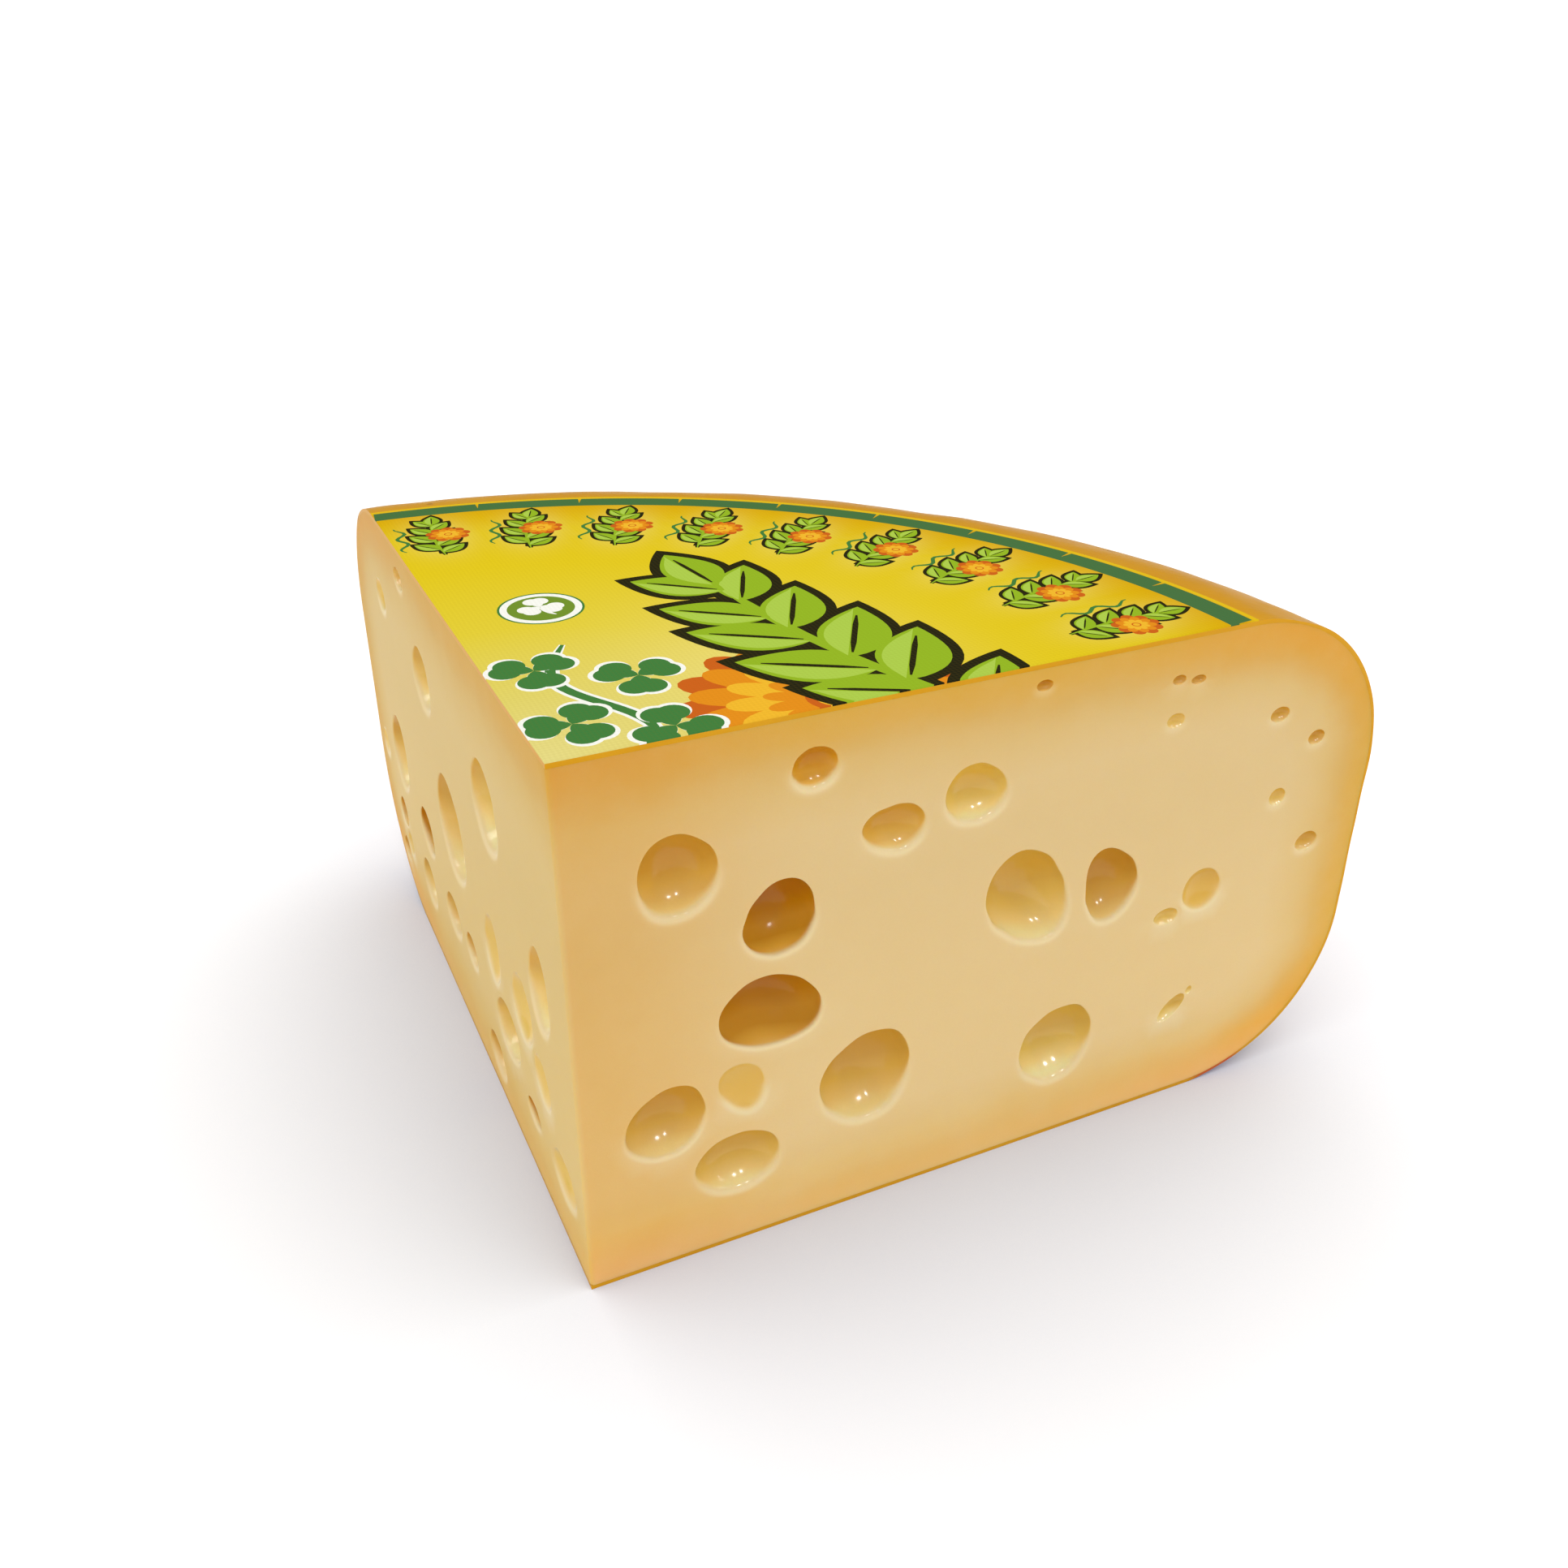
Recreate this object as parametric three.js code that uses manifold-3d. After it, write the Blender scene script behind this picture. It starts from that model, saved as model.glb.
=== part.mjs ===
// Quarter wedge cut from a wheel of holed cheese. Millimetres, +Z up, standing on its flat base.
// It is worked out with the wheel's axis at x = 0, y = 0 and the wedge in the quadrant +X +Y, then
// moved so that the middle of its bounding box stands over the origin.
// The front cut face looks along -Y and the left cut face along -X.
import * as THREE from 'three';
import { mergeVertices } from 'three/addons/utils/BufferGeometryUtils.js';
import Module from 'manifold-3d';

const WHEEL_RADIUS = 190;
const WHEEL_HEIGHT = 120;
const RIM_RADIUS = 40; // rounding between the upright side and the flat top and bottom
const COATING_THICKNESS = 1;
const LABEL_RADIUS = 149.4;
const LABEL_THICKNESS = 0.3;

const WHEEL_SEGMENTS = 96; // around the whole wheel, a multiple of four
const RIM_SEGMENTS = 8; // along each quarter-round of the rim
const EYE_EDGE_LEAST = 0.9; // length of the edges a very small eye is drawn with
const EYE_EDGE_SHARE = 0.22; // how much longer they are for each mm of an eye's half-width
const ICOSAHEDRON_EDGE = 1.05; // edge of an icosahedron of radius 1
const CUT_MARGIN = 10; // how far a cutting block reaches past what it cuts
const MERGE_TOLERANCE = 1e-4;

// The eyes are gas bubbles that the knife opened. Each line holds where the middle of the opening
// is, along the face from the wheel's axis and up from the base, then half its width, half its
// height, how deep it goes, and how far it is turned in the plane of the face, in degrees.
const FRONT_EYES = [
  [49.4, 108.5, 4.8, 4.1, 3.2, 0],
  [22.3, 92.5, 7.6, 8.6, 7.5, 10],
  [42.3, 78.2, 7.5, 8.5, 9.5, -10],
  [40.4, 57.0, 10.2, 8.2, 11.5, -20],
  [66.5, 91.7, 6.5, 5.2, 4.2, -12],
  [84.5, 95.0, 7.1, 6.4, 6.0, -20],
  [98.6, 67.2, 10.9, 13.0, 11.0, 20],
  [120.3, 64.6, 6.9, 9.3, 7.0, 0],
  [145.9, 57.0, 5.6, 5.8, 2.4, 0],
  [137.3, 52.0, 3.3, 2.2, 1.2, 20],
  [17.6, 36.9, 8.4, 8.6, 8.2, 0],
  [34.0, 40.1, 5.3, 6.2, 1.6, 0],
  [33.0, 21.4, 9.2, 7.4, 7.5, 10],
  [61.8, 33.0, 10.4, 11.3, 10.5, 0],
  [110.1, 25.4, 9.4, 10.5, 9.0, 15],
  [142.6, 25.4, 4.6, 2.3, 2.2, 42],
  [98.1, 115.4, 1.9, 1.2, 1.0, 0],
  [131.0, 110.4, 1.8, 1.2, 1.0, 0],
  [136.0, 109.6, 2.0, 1.2, 1.0, 0],
  [131.6, 101.2, 2.3, 1.8, 0.9, 0],
  [160.1, 96.9, 2.7, 2.0, 1.6, 0],
  [172.0, 89.1, 2.4, 1.8, 1.4, 0],
  [163.6, 76.1, 2.4, 2.2, 1.4, 0],
  [175.1, 62.0, 3.3, 2.6, 2.0, 0],
];
const LEFT_EYES = [
  [122.4, 112.0, 4.6, 2.6, 2.4, 0],
  [108.1, 92.1, 8.4, 8.1, 7.0, 20],
  [152.1, 97.9, 5.0, 4.4, 2.0, 0],
  [53.0, 85.6, 9.7, 10.4, 8.5, 0],
  [20.7, 60.7, 6.6, 10.5, 6.0, 10],
  [37.1, 45.1, 7.5, 8.7, 3.0, 0],
  [61.3, 45.0, 6.1, 9.5, 3.0, 8],
  [93.9, 59.0, 12.4, 13.4, 11.5, 0],
  [157.0, 50.5, 9.5, 11.3, 8.5, 20],
  [129.0, 40.2, 7.4, 6.2, 8.5, 0],
  [180.0, 43.9, 3.7, 4.5, 1.2, 0],
  [25.2, 34.6, 5.1, 6.5, 2.0, -30],
  [53.6, 27.9, 9.9, 7.5, 6.5, -10],
  [85.9, 29.2, 5.3, 4.4, 5.0, 0],
  [105.0, 28.3, 7.9, 5.6, 6.8, 0],
  [164.8, 28.0, 4.8, 4.5, 4.2, 0],
  [160.7, 19.4, 3.5, 4.0, 1.4, 0],
  [135.9, 20.6, 7.5, 6.7, 6.0, 0],
  [14.3, 17.5, 7.9, 5.9, 2.6, 0],
  [35.8, 18.1, 5.0, 3.0, 3.4, 0],
  [68.7, 10.3, 6.9, 5.4, 4.6, 0],
  [168.5, 14.0, 3.8, 3.7, 3.2, 0],
];

const wasm = await Module();
wasm.setup();

// A closed three.js geometry as a solid that can be joined and cut.
function toSolid(geometry) {
  const bare = geometry.clone();
  bare.deleteAttribute('normal');
  bare.deleteAttribute('uv');
  const merged = mergeVertices(bare, MERGE_TOLERANCE);
  return new wasm.Manifold(new wasm.Mesh({
    numProp: 3,
    vertProperties: new Float32Array(merged.attributes.position.array),
    triVerts: new Uint32Array(merged.index.array),
  }));
}

// A solid as a named mesh, moved from the wheel's axis to the part's own origin.
function toMesh(solid, name, material) {
  const cut = solid.getMesh();
  const geometry = new THREE.BufferGeometry();
  geometry.setAttribute('position', new THREE.BufferAttribute(cut.vertProperties, cut.numProp));
  geometry.setIndex(new THREE.BufferAttribute(cut.triVerts, 1));
  geometry.translate(-WHEEL_RADIUS / 2, -WHEEL_RADIUS / 2, 0);
  geometry.computeVertexNormals();
  const mesh = new THREE.Mesh(geometry, material);
  mesh.name = name;
  return mesh;
}

// The whole wheel, drawn in from its outside by a given amount all over.
function wheelSolid(inset) {
  const flatRadius = WHEEL_RADIUS - RIM_RADIUS;
  const rounding = RIM_RADIUS - inset;
  const profile = [new THREE.Vector2(0, inset)];
  addRounding(profile, flatRadius, RIM_RADIUS, rounding, -Math.PI / 2);
  addRounding(profile, flatRadius, WHEEL_HEIGHT - RIM_RADIUS, rounding, 0);
  profile.push(new THREE.Vector2(0, WHEEL_HEIGHT - inset));
  const wheel = new THREE.LatheGeometry(profile, WHEEL_SEGMENTS);
  wheel.rotateX(Math.PI / 2);
  return toSolid(wheel);
}

// Adds a quarter-round to a profile, about the centre (r, z), turning up from a start angle.
function addRounding(profile, r, z, rounding, startAngle) {
  for (let i = 0; i <= RIM_SEGMENTS; i += 1) {
    const angle = startAngle + (i / RIM_SEGMENTS) * (Math.PI / 2);
    const x = r + rounding * Math.cos(angle);
    profile.push(new THREE.Vector2(x, z + rounding * Math.sin(angle)));
  }
}

// The quadrant that the two straight knife cuts leave of the wheel.
function quadrantBlock() {
  const side = WHEEL_RADIUS + CUT_MARGIN;
  const height = WHEEL_HEIGHT + 2 * CUT_MARGIN;
  const block = new THREE.BoxGeometry(side, side, height);
  block.translate(side / 2, side / 2, WHEEL_HEIGHT / 2);
  return toSolid(block);
}

// How often a ball is subdivided, so that its edges are a fair share of the opening's width.
function ballDetail(ball, opening) {
  const edge = EYE_EDGE_LEAST + EYE_EDGE_SHARE * opening;
  return Math.max(Math.round(ICOSAHEDRON_EDGE * ball / edge) - 1, 1);
}

// A bubble that opens on the plane y = 0, and goes its depth in along +Y (inward = 1) or -Y (-1).
// It is part of a ball, stretched along the face to the width and height of the opening.
function bubble(eye, inward) {
  const [along, up, halfWidth, halfHeight, depth, turn] = eye;
  const opening = (halfWidth + halfHeight) / 2;
  const ball = (opening * opening + depth * depth) / (2 * depth);
  const shape = new THREE.IcosahedronGeometry(ball, ballDetail(ball, opening));
  shape.translate(0, inward * (depth - ball), 0);
  shape.scale(halfWidth / opening, 1, halfHeight / opening);
  shape.rotateY(-THREE.MathUtils.degToRad(turn));
  shape.translate(along, 0, up);
  return shape;
}

function allBubbles() {
  const front = FRONT_EYES.map((eye) => bubble(eye, 1));
  const left = LEFT_EYES.map((eye) => bubble(eye, -1).rotateZ(Math.PI / 2));
  return [...front, ...left];
}

function cheeseSolid(quadrant) {
  let cheese = wheelSolid(COATING_THICKNESS).intersect(quadrant);
  for (const shape of allBubbles()) {
    cheese = cheese.subtract(toSolid(shape));
  }
  return cheese;
}

function coatingSolid(quadrant) {
  return wheelSolid(0).subtract(wheelSolid(COATING_THICKNESS)).intersect(quadrant);
}

function labelSolid(quadrant) {
  const sheet = new THREE.CylinderGeometry(
    LABEL_RADIUS, LABEL_RADIUS, LABEL_THICKNESS, WHEEL_SEGMENTS);
  sheet.rotateX(Math.PI / 2);
  sheet.translate(0, 0, WHEEL_HEIGHT + LABEL_THICKNESS / 2);
  return toSolid(sheet).intersect(quadrant);
}

const paste = new THREE.MeshStandardMaterial({ color: 0xe3c690, roughness: 0.55, metalness: 0 });
const coating = new THREE.MeshStandardMaterial({ color: 0xdb9f1c, roughness: 0.35, metalness: 0 });
const paper = new THREE.MeshStandardMaterial({ color: 0xe4c832, roughness: 0.7, metalness: 0 });

const quadrant = quadrantBlock();
const wedge = new THREE.Group();
wedge.add(toMesh(cheeseSolid(quadrant), 'cheese', paste));
wedge.add(toMesh(coatingSolid(quadrant), 'rind_coating', coating));
wedge.add(toMesh(labelSolid(quadrant), 'label', paper));

export default wedge;
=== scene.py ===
# A wedge cut from a wheel of holed cheese: its paste with open eyes, its amber coating, and the
# printed paper label on top. Metres, +Z up, standing on the floor.
import math
import random
from functools import partial

import bmesh
import bpy
from bpy.props import FloatProperty, FloatVectorProperty, IntProperty, PointerProperty
from bpy.types import Operator, Panel, PropertyGroup
from mathutils import Matrix, Vector, noise
from mathutils.geometry import delaunay_2d_cdt


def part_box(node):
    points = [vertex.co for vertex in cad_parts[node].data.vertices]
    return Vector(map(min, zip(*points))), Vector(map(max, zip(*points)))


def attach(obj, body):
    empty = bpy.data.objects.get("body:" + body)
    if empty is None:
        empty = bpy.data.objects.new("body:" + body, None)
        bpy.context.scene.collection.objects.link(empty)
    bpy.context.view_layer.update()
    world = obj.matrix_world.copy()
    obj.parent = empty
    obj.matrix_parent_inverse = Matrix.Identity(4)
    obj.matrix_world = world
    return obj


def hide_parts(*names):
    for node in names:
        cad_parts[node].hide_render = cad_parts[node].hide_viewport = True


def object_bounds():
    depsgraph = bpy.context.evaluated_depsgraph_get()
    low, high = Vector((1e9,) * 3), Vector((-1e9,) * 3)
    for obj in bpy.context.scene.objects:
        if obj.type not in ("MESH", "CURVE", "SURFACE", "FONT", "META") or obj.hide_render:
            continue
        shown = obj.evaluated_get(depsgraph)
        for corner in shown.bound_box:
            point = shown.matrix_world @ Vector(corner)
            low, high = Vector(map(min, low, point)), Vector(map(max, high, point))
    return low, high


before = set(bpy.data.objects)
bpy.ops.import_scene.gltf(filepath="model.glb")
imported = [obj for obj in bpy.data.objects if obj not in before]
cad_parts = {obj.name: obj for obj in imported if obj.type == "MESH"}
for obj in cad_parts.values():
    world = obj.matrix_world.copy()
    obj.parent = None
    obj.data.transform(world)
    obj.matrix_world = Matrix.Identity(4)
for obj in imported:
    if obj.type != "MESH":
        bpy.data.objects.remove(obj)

bl_info = {
    "name": "Cheese Wedge",
    "version": (1, 0, 0),
    "blender": (4, 5, 0),
    "location": "3D View > Sidebar > Cheese",
    "description": "Builds a wedge of holed cheese with its coating and its printed label",
    "category": "Add Mesh",
}

CAD_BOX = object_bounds()
MM = 0.001
SLIVER = 0.002 * MM  # a printed shape's edges and faces thinner than this are closed up
COMPASS = 8  # directions in which an eye's outline is given, from +across, turning towards up


def oval(half_width, half_height, turn=0.0):
    """Distances from the middle of a turned ellipse to its edge, in the compass directions."""
    found = []
    for i in range(COMPASS):
        angle = i * 2 * math.pi / COMPASS - math.radians(turn)
        found.append(
            half_width
            * half_height
            / math.hypot(half_height * math.cos(angle), half_width * math.sin(angle)))
    return tuple(found)


MATH, VECTOR, MIX = "ShaderNodeMath", "ShaderNodeVectorMath", "ShaderNodeMix"
NOISE, RANGE, RAMP = "ShaderNodeTexNoise", "ShaderNodeMapRange", "ShaderNodeValToRGB"
SHADER = "ShaderNodeBsdfPrincipled"
FACTOR, A, B = 0, 6, 7  # inputs of a Mix node that mixes colours
COLOURS = {"out": 2, "data_type": "RGBA"}  # and its output
SMOOTH = {"interpolation_type": "SMOOTHSTEP"}
WAVE = math.pi / 10  # a wave texture repeats once in this length over its scale


def linear(text):
    """An sRGB hex colour as linear light, with full alpha."""
    found = []
    for i in (0, 2, 4):
        c = int(text[i:i + 2], 16) / 255
        found.append(c / 12.92 if c <= 0.04045 else ((c + 0.055) / 1.055) ** 2.4)
    return (*found, 1.0)


# The eyes are gas bubbles that the knife opened, in millimetres. Each holds how far the middle of
# its opening is from the wheel's axis and from the base, how deep it goes, how amber it looks
# inside from 0 to 1, and its outline.
FRONT_EYES = (
    (49.4, 108.5, 3.4, 0.95, (4.7, 4.5, 4.1, 4.4, 4.6, 4.5, 4.2, 4.5)),
    (22.3, 92.5, 7.5, 0.62, (7.7, 8.1, 8.5, 8.6, 7.5, 8.2, 8.4, 8.1)),
    (42.3, 78.2, 10.5, 1.0, (7.5, 7.9, 8.4, 6.9, 7.4, 7.8, 8.4, 7.7)),
    (40.4, 57.0, 12.0, 0.95, (10.1, 9.0, 8.2, 10.2, 10.3, 9.4, 8.0, 10.8)),
    (66.5, 91.7, 4.6, 0.6, (6.4, 6.2, 5.0, 6.3, 6.6, 5.4, 5.0, 6.4)),
    (84.5, 95.0, 5.6, 0.12, (6.8, 6.6, 6.5, 7.4, 6.8, 6.5, 6.0, 7.0)),
    (98.6, 67.2, 10.0, 0.25, (10.2, 8.9, 12.7, 10.9, 10.1, 8.3, 11.2, 12.4)),
    (120.3, 64.6, 8.5, 0.6, (6.9, 7.1, 9.1, 9.0, 6.4, 7.0, 9.1, 7.6)),
    (145.9, 57.0, 2.6, 0.4, (5.6, 4.9, 5.5, 5.1, 5.5, 5.2, 6.0, 5.5)),
    (136.9, 52.0, 1.6, 0.25, (3.0, 2.6, 2.1, 2.7, 3.3, 2.6, 2.0, 2.6)),
    (17.6, 36.9, 7.8, 0.5, (8.4, 9.2, 8.4, 7.5, 8.4, 8.4, 8.5, 8.1)),
    (34.0, 40.1, 1.7, 0.35, (5.0, 5.7, 6.1, 6.6, 4.8, 4.5, 5.8, 6.6)),
    (33.0, 21.4, 6.6, 0.35, (9.1, 8.3, 7.3, 8.5, 9.3, 8.3, 7.5, 8.4)),
    (61.8, 33.0, 10.0, 0.45, (10.3, 12.0, 11.3, 10.5, 10.4, 10.3, 11.2, 10.9)),
    (110.1, 25.4, 8.6, 0.12, (9.5, 10.4, 10.1, 9.4, 9.4, 9.3, 10.1, 9.6)),
    (142.4, 25.2, 2.0, 0.15, oval(4.5, 2.2, 42)),
    (146.9, 28.9, 0.6, 0.1, oval(0.8, 1.2, -20)),
    (98.1, 115.4, 1.3, 1.0, oval(1.9, 1.2)),
    (131.0, 110.4, 1.2, 0.8, oval(1.7, 1.1)),
    (136.0, 109.6, 1.2, 0.8, oval(1.9, 1.0)),
    (131.6, 101.2, 1.1, 0.3, oval(2.3, 1.7)),
    (160.1, 96.9, 1.8, 0.6, oval(2.6, 1.8)),
    (172.0, 89.1, 1.7, 0.7, oval(2.3, 1.8)),
    (163.6, 76.1, 1.5, 0.3, oval(2.3, 2.2)),
    (175.1, 62.0, 2.1, 0.6, oval(3.2, 2.5)),
)
LEFT_EYES = (
    (122.4, 112.0, 2.4, 0.5, oval(4.6, 2.6)),
    (108.1, 92.1, 6.4, 0.2, oval(8.6, 7.7, -25)),
    (152.1, 97.9, 2.2, 0.1, oval(5.0, 4.4)),
    (53.0, 85.6, 7.6, 0.15, oval(9.6, 10.2)),
    (20.7, 60.7, 5.5, 0.2, oval(6.4, 10.4, 8)),
    (37.1, 45.1, 3.4, 0.05, oval(7.3, 8.6, 10)),
    (61.3, 45.0, 3.0, 0.05, oval(5.9, 9.4, 8)),
    (93.9, 59.0, 10.5, 0.3, (12.0, 12.9, 13.4, 12.7, 12.4, 12.9, 13.2, 12.6)),
    (157.0, 50.5, 8.0, 0.3, oval(8.9, 11.8, 22)),
    (129.0, 40.2, 8.5, 1.0, oval(7.3, 6.2)),
    (180.0, 43.9, 1.2, 0.05, oval(3.5, 4.3)),
    (25.2, 34.6, 2.0, 0.05, oval(4.9, 6.3, -30)),
    (53.6, 27.9, 6.4, 0.3, oval(9.8, 7.2, -12)),
    (85.9, 29.2, 4.6, 0.5, oval(5.3, 4.3)),
    (105.0, 28.3, 6.0, 0.4, oval(7.8, 5.5, -8)),
    (164.8, 28.0, 4.4, 0.75, oval(4.7, 4.4)),
    (160.7, 19.4, 1.5, 0.1, oval(3.4, 3.9)),
    (135.9, 20.6, 6.0, 0.2, oval(7.5, 6.6, -10)),
    (14.3, 17.5, 2.8, 0.05, oval(7.8, 5.7)),
    (35.8, 18.1, 4.2, 1.0, oval(4.9, 2.9)),
    (68.7, 10.3, 4.8, 0.6, oval(6.8, 5.2, 8)),
    (168.5, 14.0, 3.4, 0.7, oval(3.7, 3.6)),
)


# ------------------------------------------------------------------ settings


COLOUR_SETTING = {"subtype": "COLOR", "size": 4, "min": 0.0, "max": 1.0}


class PasteSettings(PropertyGroup):
    """Sizes and colours of the cheese paste."""

    wheel_radius: FloatProperty(
        name="Wheel Radius",
        description="Radius of the wheel the wedge was cut from, coating included",
        default=CAD_BOX[1].x - CAD_BOX[0].x, unit="LENGTH")
    wheel_height: FloatProperty(
        name="Wheel Height", description="Height of the wheel without its label",
        default=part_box("rind_coating")[1].z, unit="LENGTH")
    rim_radius: FloatProperty(
        name="Rim Radius",
        description="Rounding between the upright side and the flat top and base", default=0.040,
        unit="LENGTH")
    lip: FloatProperty(
        name="Eye Lip", description="How far the soft lower lip of an eye is rolled over",
        default=0.0016, unit="LENGTH")
    heart_colour: FloatVectorProperty(
        name="Heart Colour", description="Colour of the paste in the middle of the cheese",
        default=linear("CCB17D"), **COLOUR_SETTING)
    rind_colour: FloatVectorProperty(
        name="Rind Colour", description="Colour of the drier paste close under the coating",
        default=linear("CD8D20"), **COLOUR_SETTING)


class CoatingSettings(PropertyGroup):
    """Sizes and colours of the rind coating."""

    thickness: FloatProperty(
        name="Thickness", description="Thickness of the coating", default=0.001, unit="LENGTH")
    colour: FloatVectorProperty(
        name="Colour", description="Colour of the coating where it is thick",
        default=linear("C48A06"), **COLOUR_SETTING)
    thin_colour: FloatVectorProperty(
        name="Thin Colour", description="Colour of the coating where it is thin",
        default=linear("C8921C"), **COLOUR_SETTING)


class LabelSettings(PropertyGroup):
    """Sizes and colours of the printed label."""

    radius: FloatProperty(
        name="Radius", description="Radius of the round sheet the label was cut with",
        default=0.1494, unit="LENGTH")
    ring_inner: FloatProperty(
        name="Ring Inner Radius", description="Inner radius of the printed green ring",
        default=0.1422, unit="LENGTH")
    ring_outer: FloatProperty(
        name="Ring Outer Radius", description="Outer radius of the printed green ring",
        default=0.148, unit="LENGTH")
    sprigs: IntProperty(
        name="Sprigs", description="Number of small sprigs printed along the ring", default=9,
        min=1)


class StageSettings(PropertyGroup):
    """The floor, the lights and the camera."""

    floor_size: FloatProperty(
        name="Floor Size", description="Width of the floor", default=12.0, unit="LENGTH")
    lens: FloatProperty(
        name="Lens", description="Focal length in mm on a 36 mm sensor", default=32.25)
    azimuth: FloatProperty(
        name="Azimuth", description="Turn of the camera about the upright axis",
        default=math.radians(-25.11), subtype="ANGLE")
    elevation: FloatProperty(
        name="Elevation", description="How far the camera looks down", default=math.radians(28.04),
        subtype="ANGLE")


# ------------------------------------------------------------------ geometry


class Shape:
    """A mesh being built in wheel coordinates. Points in the same place are shared."""

    def __init__(self):
        self.points, self.faces, self.slots = [], [], []
        self.index, self.values = {}, {}

    def point(self, place, **values):
        key = tuple(round(c * 1e7) for c in place)
        found = self.index.setdefault(key, len(self.points))
        if found == len(self.points):
            self.points.append(tuple(place))
        for name, value in values.items():
            self.values.setdefault(name, {})[found] = value
        return found

    def face(self, corners, slot=0):
        distinct = list(dict.fromkeys(corners))
        if len(distinct) > 2:
            self.faces.append(distinct)
            self.slots.append(slot)

    def strip(self, first, second, closed=False):
        count = len(first)
        for i in range(count if closed else count - 1):
            j = (i + 1) % count
            self.face((first[i], first[j], second[j], second[i]))

    def finish(self, name, materials, sharp_angle, underside=None):
        """Makes the object, moves it from the wheel's axis into the row frame and shades it. A
        flat sheet is given its thickness by an underside."""
        mesh = bpy.data.meshes.new(name)
        mesh.from_pydata(self.points, [], self.faces)
        for value_name, found in self.values.items():
            attribute = mesh.attributes.new(value_name, "FLOAT", "POINT")
            for i, value in found.items():
                attribute.data[i].value = value
        for material in materials:
            mesh.materials.append(material)
        mesh.polygons.foreach_set("material_index", self.slots)
        mesh.transform(Matrix.Translation((CAD_BOX[0].x, CAD_BOX[0].y, 0)))
        work = bmesh.new()
        work.from_mesh(mesh)
        if underside is not None:
            bmesh.ops.dissolve_degenerate(work, dist=SLIVER, edges=work.edges)
            close_sheet(work, underside)
        bmesh.ops.recalc_face_normals(work, faces=work.faces)
        work.to_mesh(mesh)
        work.free()
        mesh.shade_smooth()
        mesh.set_sharp_from_angle(angle=sharp_angle)
        made = bpy.data.objects.new(name, mesh)
        bpy.context.scene.collection.objects.link(made)
        return made


def close_sheet(work, underside):
    """Closes a flat convex sheet with an underside, and with sides in the ink beside them. They are
    made in order round its middle, so that every run gives the same mesh."""
    rim = [corner for corner in work.verts if corner.is_boundary]
    middle = sum((corner.co for corner in rim), Vector()) / len(rim)
    rim.sort(key=lambda corner: math.atan2(corner.co.y - middle.y, corner.co.x - middle.x))
    lower = [work.verts.new((corner.co.x, corner.co.y, underside), corner) for corner in rim]
    for i, corner in enumerate(rim):
        beside = work.edges.get((rim[i - 1], corner)).link_faces[0]
        work.faces.new((rim[i - 1], corner, lower[i], lower[i - 1]), beside)
    work.faces.new(lower)


def spaced(first, last, step):
    """Numbers from first to last, evenly spaced by about step."""
    count = max(1, round(abs(last - first) / step))
    return [first + (last - first) * i / count for i in range(count + 1)]


def rim_profile(settings, inset, step):
    """Points (r, z) up the wheel's rounded side, from the flat base to the flat top."""
    flat = settings.wheel_radius - settings.rim_radius
    rounding = settings.rim_radius - inset
    found = []
    turns = spaced(-math.pi / 2, 0, step / settings.rim_radius)
    for turn in turns:
        found.append(
            (flat + rounding * math.cos(turn), settings.rim_radius + rounding * math.sin(turn)))
    low, high = settings.rim_radius, settings.wheel_height - settings.rim_radius
    found += [(settings.wheel_radius - inset, z) for z in spaced(low, high, step * 1.5)[1:-1]]
    for turn in turns:
        found.append(
            (
                flat + rounding * math.cos(turn + math.pi / 2),
                high + rounding * math.sin(turn + math.pi / 2)))
    return found


def counter_clockwise(loop):
    area = sum(a[0] * b[1] - b[0] * a[1] for a, b in zip(loop, loop[1:] + loop[:1]))
    return loop if area > 0 else loop[::-1]


def fill(loops, loose=()):
    """Triangulates flat loops, and returns the points, the triangles, and for each triangle the
    loops it lies in. Works in millimetres so that near points stay apart, and gives the points it
    was given back exactly. A coarser tolerance loses track of which loop a triangle lies in."""
    given, outlines = [], []
    for loop in loops:
        outlines.append(list(range(len(given), len(given) + len(loop))))
        given += counter_clockwise(list(loop))
    given += loose
    coords = [Vector(p) / MM for p in given]
    points, _, faces, origins, _, owners = delaunay_2d_cdt(coords, [], outlines, 1, 1e-5, True)
    found = [
        tuple(given[origin[0]]) if origin else tuple(p * MM) for p, origin in zip(points, origins)]
    return found, faces, owners


# ------------------------------------------------------------------ the paste


FACE_STEP = 3.2 * MM
EYE_CLEARANCE = 1.1 * MM
# The brightness of this surround below an eye is painted light.
HALO_REACH = 2.6 * MM  # width of the bright, softly sunken surround of an eye
HALO_LEAST = 0.12 * MM
HALO_SHARE = 0.42  # of the gap to the next eye
EDGE_SHARE = 0.8  # of the gap to the base or top of the face
NEIGHBOUR = 35  # mm between the middles of eyes that may come near each other
APEX_ROUNDING = 0.7 * MM
EYE_FREE = 0.022  # a point further than this from an eye's middle is clear of it
RIM_FREE = 0.001  # room kept from the rounded rim for the coating
KERNEL = [i / 4 - 1 for i in range(9)]  # where a rolled edge is averaged, as shares of its reach


def smooth_step(low, high, value):
    t = min(max((value - low) / (high - low), 0.0), 1.0)
    return t * t * (3 - 2 * t)


def outline_waves(radii):
    """The waves of an eye's outline, as waves of 1 / r², of which an ellipse has only one."""
    found = []
    for k in range(COMPASS // 2):
        weight = (2 if k else 1) / COMPASS * MM**-2
        turns = [2 * math.pi * k * i / COMPASS for i in range(COMPASS)]
        found.append((
            k,
            weight * sum(math.cos(t) / r**2 for t, r in zip(turns, radii)),
            weight * sum(math.sin(t) / r**2 for t, r in zip(turns, radii))))
    return found


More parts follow.
